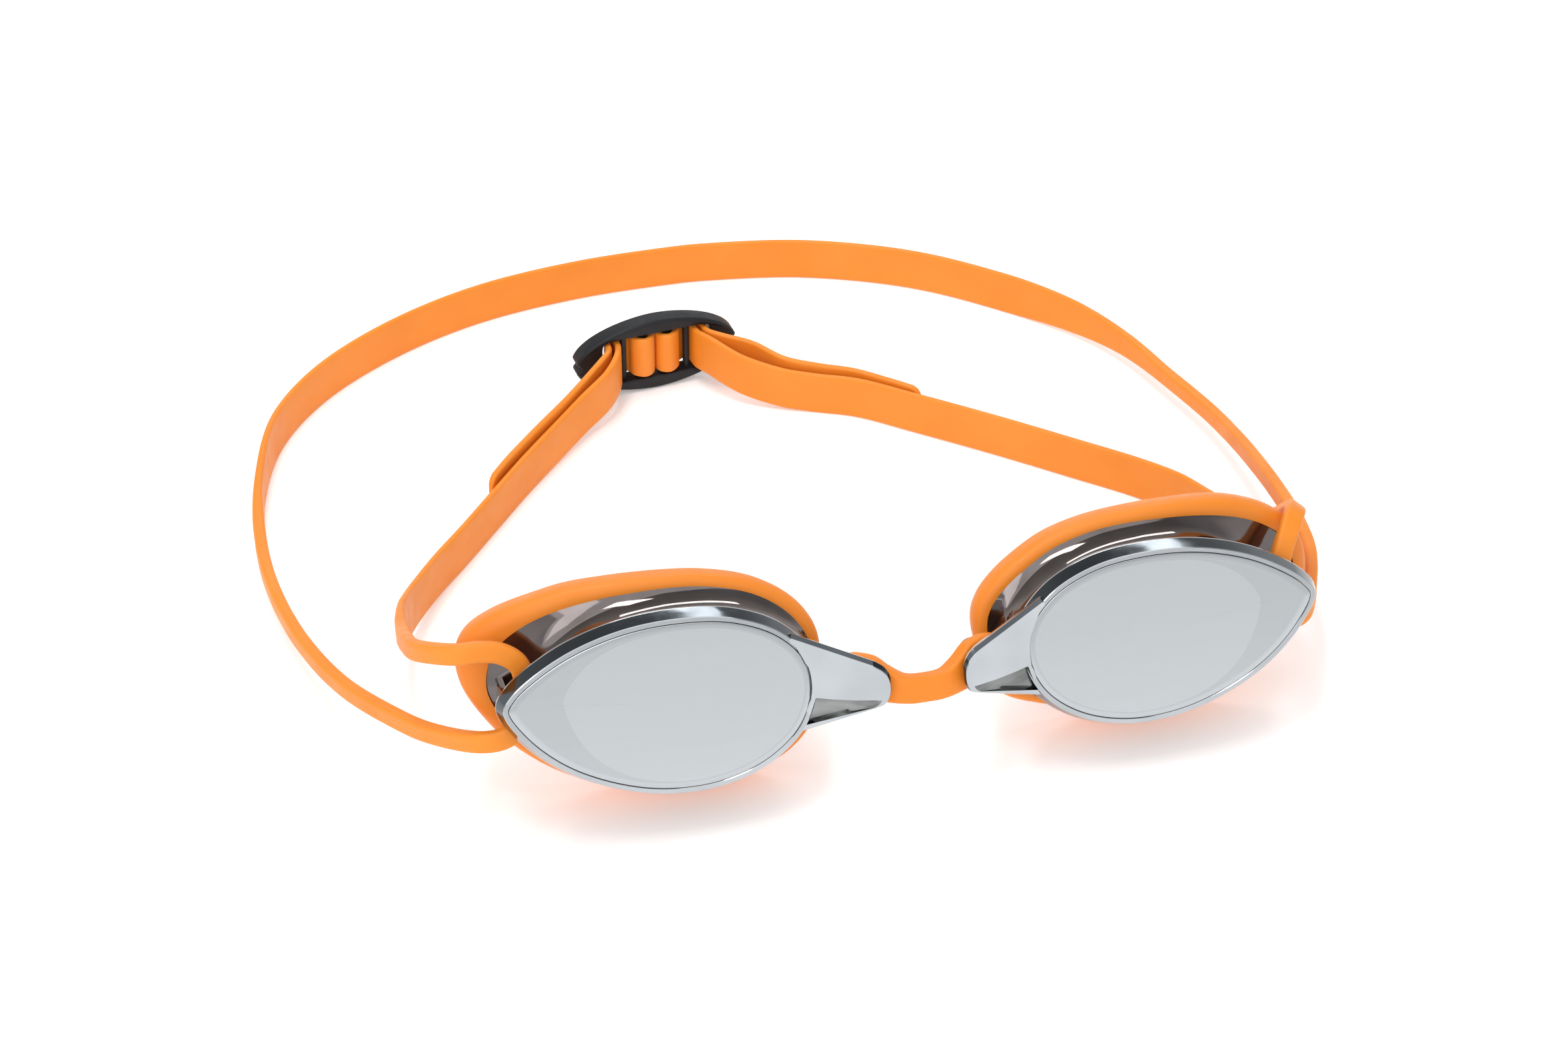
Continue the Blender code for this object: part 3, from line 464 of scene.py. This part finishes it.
def wing(side, word):
    """Nose wing: a flat tab with a rounded tip, and a sunken triangle over its lower edge."""
    ring = [p for p in RIM[0] if p.x < -10]
    root_at = lambda v: LENS_X + min(ring, key=lambda p: abs(p.y - v)).x + 0.9
    tip = evenly(smooth_path([(10.2, -5.15, 0), (8.6, -4.3, 0), (7.75, -2.6, 0), (7.6, -0.9, 0),
                              (7.8, 0.7, 0), (8.7, 2.2, 0), (10.2, 3.3, 0)]), 201)
    rows = [0.0, 0.05, 0.075, 0.1] + [0.1 + 0.8 * k / 22 for k in range(1, 23)] + [0.93, 0.965, 1.0]
    lip, wall = 0.065, 0.018
    bm = bmesh.new()
    grid = []
    for s in rows:
        top = 0.37 - 0.12 * s
        columns = [0.0, lip * 0.5, lip, lip + wall]
        columns += [lip + wall + (top - lip - 2 * wall) * k / 6 for k in range(1, 7)]
        columns += [top] + [top + (1 - top) * k / 14 for k in range(1, 15)]
        line = []
        for k, t in enumerate(columns):
            end = tip[int(round(t * 200))]
            v = -10.0 + 19.9 * t
            x, z = root_at(v) + (end.x - root_at(v)) * s, v + (end.y - v) * s
            low, high = -4.6 + 0.355 * (x - 9.0), -5.3 + 0.3237 * (x - 8.9)
            y = low + (high - low) * t
            sunk = 3 <= k <= 9 and 0.07 < s < 0.92
            if sunk:
                y += 1.15 * min(1.0, (0.93 - s) / 0.35) * (0.75 + 0.25 * (9 - k) / 6)
            line.append(bm.verts.new((side * x, y, z)))
        grid.append(line)
    last = len(grid[0]) - 1
    for i in range(len(rows) - 1):
        for k in range(last):
            face = bm.faces.new((grid[i][k], grid[i + 1][k], grid[i + 1][k + 1], grid[i][k + 1]))
            face.material_index = 1 if 2 <= k <= 9 and 1 <= i and rows[i + 1] <= 0.93 else 0
    loop = [line[0] for line in grid] + grid[-1][1:] + [line[-1] for line in reversed(grid[:-1])]
    loop += list(reversed(grid[0][1:-1]))
    middle = Vector((side * 15.5, 0, -0.6))
    previous = loop
    for out, deep in ((0.16, 0.12), (0.42, 0.75), (0.40, 1.1), (0.1, 2.2), (-1.2, 2.25)):
        moved = []
        for i, vert in enumerate(loop):
            a, b = loop[i - 1].co, loop[(i + 1) % len(loop)].co
            along = (b - a)
            way = Vector((along.z, 0, -along.x)).normalized()
            if way.dot(vert.co - middle) < 0:
                way = -way
            reach = out + (0.55 * max(0.0, way.z) if deep > 0.5 else 0.0)
            moved.append(bm.verts.new(vert.co + way * reach + Vector((0, deep, 0))))
        for i in range(len(loop)):
            j = (i + 1) % len(loop)
            face = bm.faces.new((previous[i], previous[j], moved[j], moved[i]))
            face.material_index = 2 if deep == 0.75 else 0
        previous = moved
    bm.faces.new(previous)
    return piece(bm, f"{word}_nose_wing", FRONT, (PLATE, RECESS, BEVEL), 24)


def peg(side, word):
    """Stepped peg behind the wing, with a domed head that keeps the bridge on."""
    profile = [(PEG_R, -3.2), (PEG_R, 4.2), (PEG_HEAD_R - 0.3, 4.3), (PEG_HEAD_R, 4.6),
               (PEG_HEAD_R, 5.2), (PEG_HEAD_R - 0.5, 5.6), (0.6, 5.7)]
    turn = [2 * math.pi * k / 40 for k in range(40)]
    rings = []
    for radius, y in profile:
        ring = [(radius * math.cos(a), radius * math.sin(a)) for a in turn]
        rings.append([Vector((side * PEG_X + a, y, PEG_Z + b)) for a, b in ring])
    return piece(skin(rings, False), f"{word}_peg", FRONT, (WALL,), 30)


def strap_post(side, word):
    """Flat bar behind the rim's tip that the strap's neck goes round."""
    low = Vector((LENS_X + POST_OUT[0], 3.4, POST_UP[0]))
    high = Vector((LENS_X + POST_OUT[1], face_depth(FLANGE_FRONT)(POST_OUT[0], 0) + 0.4, POST_UP[1]))
    shape = rounded_rectangle(high.x - low.x, high.z - low.z, 0.5)
    rings = []
    x, z = (low.x + high.x) / 2, (low.z + high.z) / 2
    for y in (low.y, high.y):
        rings.append([Vector((side * (x + a), y, z + b)) for a, b in shape])
    return piece(skin(rings, False), f"{word}_strap_post", FRONT, (WALL,), 30)


# ---------------------------------------------------------------- nose bridge

def nose_bridge():
    """A saddle that dips between the wings, with a tall flat end behind each wing."""
    half = [(0.0, -2.0, -3.3, 5.4, 3.6), (3.6, -1.8, -3.1, 5.6, 3.6), (6.8, -0.7, -2.0, 7.2, 3.3),
            (9.2, 0.5, -0.9, 8.8, 3.0), (12.4, 1.8, -0.3, 9.0, 2.8), (15.2, 2.7, -0.3, 8.2, 2.6),
            (15.9, 2.9, -0.3, 7.2, 2.2), (16.15, 2.98, -0.3, 5.6, 1.2)]
    stations = [(-x, *rest) for x, *rest in reversed(half[1:])] + half
    line = smooth_path([Vector((x, y, z)) for x, y, z, _, _ in stations], steps=6)
    sizes = smooth_path([Vector((high, thick, 0)) for *_, high, thick in stations], steps=6)
    rings = []
    for i, (centre, size) in enumerate(zip(line, sizes)):
        a, b = line[max(i - 1, 0)], line[min(i + 1, len(line) - 1)]
        along = Vector((b.x - a.x, b.y - a.y, 0)).normalized()
        across = Vector((along.y, -along.x, 0))
        shape = rounded_rectangle(size.y, size.x, 1.0, 6, 4)
        rings.append([centre + across * p + Vector((0, 0, q)) for p, q in shape])
    made = piece(skin(rings, False), "nose_bridge_saddle", FRONT, (ORANGE["bridge"],), 50)
    for x, slot in ((-PEG_X, 0.0), (PEG_X, EYELET_SLOT)):
        rim = []
        for end, start in ((1, -90), (-1, 90)):
            for k in range(17):
                angle = math.radians(start + 180.0 * k / 16 + (0.0 if slot else 0.01 * end))
                rim.append((x + end * slot + EYELET_R * math.cos(angle), PEG_Z + EYELET_R * math.sin(angle)))
        if not slot:    # a round eyelet's two halves share their ends
            rim = rim[:16] + rim[17:33]
        rings = [[Vector((px, y, pz)) for px, pz in rim] for y in (-6.0, 9.0)]
        cutter = piece(skin(rings, False), "eyelet_cutter", FRONT, ())
        cut = made.modifiers.new("eyelet", "BOOLEAN")
        cut.object, cut.operation, cut.solver = cutter, "DIFFERENCE", "EXACT"
        with bpy.context.temp_override(object=made, active_object=made, selected_objects=[made]):
            bpy.ops.object.modifier_apply(modifier=cut.name)
        bpy.data.objects.remove(cutter)
    return made


# ---------------------------------------------------------------- strap

UP, DOWN = Vector((0, 0, 1)), Vector((0, 0, -1))


def in_front(side, out, depth, up, way):
    """A neck station given in the front frame, out from the lens centre, in table millimetres."""
    turn = Matrix.Rotation(-LEAN, 3, "X")
    point = turn @ Vector((side * (LENS_X + out), depth, up)) + Vector((0, 0, LIFT))
    return (point, turn @ Vector((side * way[0], way[1], way[2])), NECK_W, NECK_T)


def in_buckle(side, x, y):
    """A point in the buckle's own plan, mirrored by side, in table millimetres."""
    cos, sin = math.cos(BUCKLE_TURN), math.sin(BUCKLE_TURN)
    x *= side
    return Vector((BUCKLE_X + x * cos - y * sin, BUCKLE_Y + x * sin + y * cos, BUCKLE_Z))


def post_loop(side):
    """From the tail's side of the buckle, round the post, to the strand: points in plan."""
    inner, outer = BAR_X + BAR_W / 2 + 1.05, BAR_X + BAR_W / 2 + 3.2
    plan = [(outer + 3.0, -6.2), (outer + 0.5, -3.2), (outer, 0.2), (outer - 1.2, 3.0), (BAR_X + 0.9, 4.0),
            (BAR_X - 1.1, 3.7), (POST_X + 1.4, 2.5)]
    for degrees in (90, 135, 180, 225, 270):
        angle = math.radians(degrees)
        plan.append((POST_X + LOOP_R * math.cos(angle), LOOP_R * math.sin(angle)))
    plan += [(POST_X + LOOP_R * 0.87, -0.9), (POST_X + 2.5, 0.9), (BAR_X - 0.4, 2.1), (BAR_X + 1.1, 1.7),
             (inner, -0.1), (inner + 0.3, -2.8), (inner + 2.2, -6.8)]
    return [in_buckle(side, x, y) for x, y in plan]


def band(x, y, z=BAND_Z):
    """A station of the flat band, standing on its edge."""
    return (Vector((x, y, z)), UP, BAND_W, BAND_T)


def neck(x, y, z):
    """A station of the narrow neck."""
    return (Vector((x, y, z)), UP, NECK_W, NECK_T)


LEFT_NECK = [(39.5, 8.6, 12.9, (0, 0, -1)), (35.5, 8.3, 12.9, (0, 0, -1)),
             (31.5, CHANNEL_DEPTH, 12.0, (0.4, 0, -0.9)), (28.4, CHANNEL_DEPTH, 9.4, (0.8, 0, -0.6)),
             (27.5, CHANNEL_DEPTH, 5.0, (1, 0, 0)), (28.0, CHANNEL_DEPTH, 0.6, (1, 0, 0)),
             (29.5, CHANNEL_DEPTH, -3.1, (0.8, 0, 0.6)), (32.4, 8.3, -5.0, (0.2, 0, 1)),
             (36.5, 8.8, -5.4, (0, 0, 1))]
RIGHT_NECK = [(36.7, 21.0, 13.8, (0.75, 0, -0.65)), (35.7, 16.8, 15.2, (0.75, 0, -0.65)),
              (33.6, 12.4, 15.5, (0.9, 0, -0.4)), (31.2, 9.6, 13.0, (1, 0, -0.1)),
              (29.4, 8.6, 9.2, (1, 0, 0)),
              (28.5, CHANNEL_DEPTH, 5.0, (1, 0, 0)), (28.3, CHANNEL_DEPTH, 0.6, (1, 0, 0)),
              (29.4, CHANNEL_DEPTH, -3.0, (0.8, 0, 0.6)), (31.8, 8.8, -4.6, (0.2, 0, 1)),
              (35.0, 10.8, -4.0, (0, 0, 1))]
LEFT_TAIL = [(-68.3, 101.2, 6.4), (-62.7, 108.5, 6.5), (-55.1, 117.2, 6.9), (-47.0, 125.5, 7.8),
             (-39.9, 133.3, 8.8)]
LEFT_STRAND = [(-36.6, 132.6, 8.4), (-43.4, 126.4, 7.0), (-51.0, 118.6, 5.8), (-59.0, 109.6, BAND_Z),
               (-67.5, 98.6, BAND_Z), (-76.0, 87.5, BAND_Z), (-83.5, 77.5, 5.8), (-89.8, 66.0, 8.0),
               (-93.0, 56.0, 12.0)]
RIGHT_TAIL = [(-1.9, 136.9, 8.4), (4.1, 130.8, 7.4), (11.5, 127.4, 6.6), (18.9, 124.3, 6.2),
              (26.0, 118.9, 6.0), (32.0, 114.0, 5.9)]
RIGHT_STRAND = [(-7.4, 135.0, 8.2), (-4.2, 132.2, 7.4), (3.0, 128.2, 6.0), (10.5, 125.4, BAND_Z),
                (19.0, 121.6, BAND_Z), (31.0, 112.4, BAND_Z), (46.0, 100.4, BAND_Z), (60.0, 88.5, BAND_Z),
                (72.5, 77.6, BAND_Z)]


def ribbon(name, stations, longest=1.6, sharpest=math.radians(5)):
    """Sweeps a round-edged section; a station is (point, direction of the width, width, thickness)."""
    steps = 24
    line = smooth_path([p for p, *_ in stations], steps=steps)
    sizes = smooth_path([Vector((wide, thick, 0)) for _, _, wide, thick in stations], steps=steps)
    rings, walked, turned, last_way = [], 0.0, 0.0, None
    for i, centre in enumerate(line):
        k, part = divmod(i, steps)
        before, after = stations[k], stations[min(k + 1, len(stations) - 1)]
        part = part / steps
        along = (line[min(i + 1, len(line) - 1)] - line[max(i - 1, 0)]).normalized()
        if last_way is not None:
            walked += (centre - line[i - 1]).length
            turned += along.angle(last_way)
        last_way = along
        if part and i < len(line) - 1 and walked < longest and turned < sharpest:
            continue
        walked, turned = 0.0, 0.0
        width_way = before[1].lerp(after[1], ease(part))
        width_way = (width_way - along * width_way.dot(along)).normalized()
        wide, thick = sizes[i].x, sizes[i].y
        across = width_way.cross(along)
        shape = rounded_rectangle(thick, wide, 0.42 * min(thick, 1.7), 5, 5)
        rings.append([centre + across * a + width_way * b for a, b in shape])
    return piece(skin(rings, False), name, TABLE, (ORANGE["strap"],), 42)


def round_end(tip, inner, way):
    """Stations that narrow a tail to a rounded end at its tip."""
    along = (Vector(inner) - Vector(tip)).normalized()
    ends = ((0.0, 5.4, 0.9), (0.35, 7.4, 1.2), (1.0, 9.0, 1.35), (2.1, 10.1, BAND_T))
    return [(Vector(tip) + along * back, way, wide, thick) for back, wide, thick in ends]


def strap():
    """The strap as two swept lengths that meet in the middle of the rear arc."""
    flat = lambda points, way: [(Vector(p), way, BAND_W, BAND_T) for p in points]
    left_neck = [in_front(-1, *row) for row in LEFT_NECK]
    right_neck = [in_front(1, *row) for row in RIGHT_NECK]
    left = round_end(LEFT_TAIL[0], LEFT_TAIL[1], DOWN) + flat(LEFT_TAIL[1:], DOWN)
    left += flat(post_loop(-1), DOWN) + flat(LEFT_STRAND, DOWN)
    left += [(Vector((-94.4, 46.5, 17.8)), DOWN, 7.0, 2.0),
             (Vector((-94.8, 37.5, 23.6)), DOWN, NECK_W, NECK_T),
             (Vector((-94.9, 28.5, 29.2)), DOWN, NECK_W, NECK_T),
             (Vector((-93.6, 19.5, 34.2)), DOWN, NECK_W, NECK_T)]
    left += left_neck
    left += [neck(-93.0, 15.5, 16.8), neck(-99.5, 25.5, 14.0), neck(-107.5, 41.0, 10.4),
             neck(-114.0, 60.0, 8.0), neck(-117.8, 80.0, 6.8), neck(-118.6, 98.0, 6.2),
             (Vector((-117.0, 116.0, 5.5)), UP, 8.0, 1.8), band(-111.3, 137.0), band(-100.0, 153.5),
             band(-82.0, 168.0), band(-60.0, 178.6), band(-34.0, 184.2), band(-8.0, 185.5),
             band(-5.9, 185.395)]
    right = [band(-6.0, 185.4), band(-4.0, 185.3), band(20.0, 181.6), band(45.0, 171.2), band(64.0, 156.6),
             (Vector((77.6, 142.4, 5.3)), UP, 8.8, 1.6), (Vector((85.6, 128.8, 5.4)), UP, 6.0, 2.1),
             neck(91.0, 112.0, 5.8), neck(94.8, 96.5, 6.8), neck(95.6, 82.0, 9.5), neck(95.0, 68.5, 12.8),
             neck(93.9, 53.5, 16.2), neck(92.2, 37.0, 19.2), neck(89.7, 24.6, 20.5)]
    right += list(reversed(right_neck))
    right += [(Vector((84.4, 30.2, 28.4)), Vector((0.6, 0.2, -0.8)), NECK_W, NECK_T),
              (Vector((83.6, 36.0, 22.6)), Vector((0.3, 0.1, -0.95)), NECK_W, NECK_T),
              (Vector((83.4, 44.0, 16.0)), DOWN, 5.6, 2.2), (Vector((83.0, 52.5, 10.8)), DOWN, 8.4, 1.8),
              (Vector((81.6, 61.5, 7.4)), DOWN, 10.0, 1.5), (Vector((78.4, 69.8, 6.0)), DOWN, BAND_W, BAND_T)]
    right += flat(reversed(RIGHT_STRAND), DOWN) + flat(reversed(post_loop(1)), DOWN)
    right += flat(RIGHT_TAIL[:-1], DOWN) + list(reversed(round_end(RIGHT_TAIL[-1], RIGHT_TAIL[-2], DOWN)))
    return ribbon("strap_left_length", left), ribbon("strap_right_length", right)


# ---------------------------------------------------------------- buckle

def place_in_buckle():
    """From the buckle's own frame to the world."""
    return TABLE @ Matrix.Translation((BUCKLE_X, BUCKLE_Y, BUCKLE_Z)) @ Matrix.Rotation(BUCKLE_TURN, 4, "Z")


def buckle_frame():
    """Oval frame with rounded edges and one long opening for the strap."""
    half_l, half_h, half_d = BUCKLE_L / 2, BUCKLE_H / 2, BUCKLE_DEEP / 2
    count = 160
    oval = []
    for k in range(count):
        angle = 2 * math.pi * k / count
        c, s = math.cos(angle), math.sin(angle)
        x = half_l * math.copysign(abs(c) ** 1.12, c)
        z = half_h * s
        dent = max(0.0, 1.0 - abs(z) / NOTCH_HIGH) * NOTCH_DEEP
        oval.append((x - math.copysign(dent, x) if abs(x) > half_l - 2.0 else x, z))
    corner = [(13.0, 0.0), (13.0, 2.2), (12.95, 4.2), (12.6, 5.3), (11.4, 5.8), (8.2, 5.9), (3.0, 5.9),
              (0.0, 5.9)]
    upper = corner + [(-x, z) for x, z in reversed(corner[:-1])]
    hole = upper + [(x, -z) for x, z in reversed(upper[1:-1])]
    hole = smooth_path([(x, z, 0) for x, z in hole], closed=True)
    hole = [(p.x, p.y) for p in evenly(hole, count, closed=True)]

    def shifted(shape, grow):
        out = []
        for i, (x, z) in enumerate(shape):
            a, b = Vector(shape[i - 1]), Vector(shape[(i + 1) % len(shape)])
            way = Vector(((b - a).y, -(b - a).x)).normalized()
            if way.dot(Vector((x, z))) < 0:
                way = -way
            out.append((x + way.x * grow, z + way.y * grow))
        return out

    rings = []
    r = BUCKLE_EDGE_R
    for k in range(7):
        angle = math.radians(90.0 * k / 6)
        rings.append((oval, -r * (1 - math.sin(angle)), -half_d + r * (1 - math.cos(angle))))
    rings += [(shape, grow, -y) for shape, grow, y in reversed(rings)]
    inside = []
    r = HOLE_EDGE_R
    for k in range(6):
        angle = math.radians(90.0 * k / 5)
        inside.append((hole, r * (1 - math.sin(angle)), half_d - r * (1 - math.cos(angle))))
    inside += [(shape, grow, -y) for shape, grow, y in reversed(inside)]
    loops = []
    for shape, grow, y in rings + inside:
        loops.append([Vector((x, y, z)) for x, z in shifted(shape, grow)])
    return piece(skin(loops, True), "buckle_frame", place_in_buckle(), (BLACK,), 40)


def buckle_bar(name, x, wide, deep, radius):
    """An upright bar or post across the buckle's opening."""
    shape = rounded_rectangle(wide, deep, radius, 6, 3)
    rings = [[Vector((x + a, b, z)) for a, b in shape] for z in (-BAR_HALF, BAR_HALF)]
    return piece(skin(rings, False), name, place_in_buckle(), (BLACK,), 40)


# ---------------------------------------------------------------- assembly

for side, word in ((-1, "left"), (1, "right")):
    shell = eye_cup(side, word)
    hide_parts(f"{word}_eye_cup")
    glass = lens(side, word)
    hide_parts(f"{word}_lens")
    seal = gasket(side, word)
    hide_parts(f"{word}_gasket")
    for made, slot in ((shell, "cup"), (glass, "lens"), (seal, "gasket"), (wing(side, word), "cup"),
                       (peg(side, word), "cup"), (strap_post(side, word), "cup")):
        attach(made, f"{word}_cup")

saddle = nose_bridge()
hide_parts("nose_bridge")
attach(saddle, "bridge")

left_length, right_length = strap()
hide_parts("strap_left_run", "strap_left_neck", "strap_rear_band")
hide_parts("strap_right_run", "strap_right_neck")
for made, word in ((left_length, "left"), (right_length, "right")):
    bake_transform(made)

oval_frame = buckle_frame()
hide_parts("strap_buckle")
bars = [buckle_bar("buckle_left_bar", -BAR_X, BAR_W, BAR_DEEP, 0.4),
        buckle_bar("buckle_right_bar", BAR_X, BAR_W, BAR_DEEP, 0.4),
        buckle_bar("buckle_left_post", -POST_X, 2 * POST_R, 2 * POST_R, POST_R),
        buckle_bar("buckle_right_post", POST_X, 2 * POST_R, 2 * POST_R, POST_R)]
for made in [oval_frame] + bars:
    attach(made, "buckle")


# ---------------------------------------------------------------- stage, light, camera

def studio():
    """Pale paper floor, and a surround that is bright low down and grey overhead."""
    bm = bmesh.new()
    bmesh.ops.create_grid(bm, x_segments=1, y_segments=1, size=3000.0)
    made, nodes, links, shader = shader_of("floor_paper", Specular_IOR_Level=0.1)
    colours = ((0.965, 0.965, 0.965), (0.98, 0.98, 0.98))
    links.new(ramp(nodes, links, noise(nodes, links, 3.0), 0.3, 0.7, colours), shader.inputs["Base Color"])
    shader.inputs["Roughness"].default_value = 0.95
    shader.inputs["Emission Color"].default_value = (1.0, 1.0, 1.0, 1.0)
    shader.inputs["Emission Strength"].default_value = 0.16
    floor = piece(bm, "floor", Matrix.Scale(MM, 4), (made,))

    world = bpy.data.worlds.new("studio")
    bpy.context.scene.world = world
    world.use_nodes = True
    nodes, links = world.node_tree.nodes, world.node_tree.links
    where = nodes.new("ShaderNodeTexCoord")
    split = nodes.new("ShaderNodeSeparateXYZ")
    shade = nodes.new("ShaderNodeValToRGB")
    links.new(where.outputs["Generated"], split.inputs["Vector"])
    links.new(split.outputs["Z"], shade.inputs["Fac"])
    links.new(shade.outputs["Color"], nodes["Background"].inputs["Color"])
    stops = shade.color_ramp.elements
    stops[0].position, stops[0].color = 0.0, (1.0, 1.0, 1.0, 1)
    stops[1].position, stops[1].color = 0.8, (0.30, 0.305, 0.315, 1)
    for position, tone in ((0.24, 1.0), (0.44, 0.52)):
        stop = stops.new(position)
        stop.color = (tone, tone, tone * 1.01, 1)
    nodes["Background"].inputs["Strength"].default_value = 1.0


def softbox(name, place, aim, size, power):
    """A rectangular area light, in metres and watts, turned to a point."""
    lamp = bpy.data.lights.new(name, "AREA")
    lamp.shape = "RECTANGLE"
    lamp.size, lamp.size_y = size
    lamp.energy = power
    made = bpy.data.objects.new(name, lamp)
    bpy.context.scene.collection.objects.link(made)
    made.location = place
    made.rotation_euler = (Vector(aim) - Vector(place)).to_track_quat("-Z", "Y").to_euler()


def daylight(name, direction, energy, angle):
    """A broad, even light from far away."""
    lamp = bpy.data.lights.new(name, "SUN")
    lamp.energy = energy
    lamp.angle = math.radians(angle)
    made = bpy.data.objects.new(name, lamp)
    bpy.context.scene.collection.objects.link(made)
    made.rotation_euler = Vector(direction).to_track_quat("-Z", "Y").to_euler()


def photo_camera():
    """Camera placed in the front frame and leaned with it."""
    turn, tip, roll = CAMERA_TURN, CAMERA_TIP, CAMERA_ROLL
    back = Vector((math.sin(turn) * math.cos(tip), -math.cos(turn) * math.cos(tip), math.sin(tip)))
    level = Vector((math.cos(turn), math.sin(turn), 0))
    upright = back.cross(level)
    right = math.cos(roll) * level + math.sin(roll) * upright
    up = math.cos(roll) * upright - math.sin(roll) * level
    lean = Matrix.Rotation(-LEAN, 3, "X")
    place = FRONT @ (CAMERA_AIM + back * CAMERA_DISTANCE)
    lens_data = bpy.data.cameras.new("camera")
    lens_data.sensor_width = CAMERA_SENSOR
    lens_data.lens = CAMERA_FOCAL
    lens_data.clip_start = 0.01
    made = bpy.data.objects.new("camera", lens_data)
    bpy.context.scene.collection.objects.link(made)
    axes = Matrix((lean @ right, lean @ up, lean @ back)).transposed()
    made.matrix_world = Matrix.Translation(place) @ axes.to_4x4()
    bpy.context.scene.camera = made


studio()
daylight("soft_key", (0.25, 0.55, -1.0), 1.25, 75.0)
softbox("top_box", (-0.15, 0.05, 1.1), (0, 0, 0), (0.75, 0.19), 4.4)
softbox("front_box", (-0.45, -1.15, 0.85), (0, 0, 0.02), (0.9, 0.5), 2.4)
softbox("back_strip", (0.25, 0.85, 0.75), (0, -0.05, 0.02), (0.9, 0.10), 2.4)
photo_camera()
bpy.context.scene.view_settings.view_transform = "Standard"
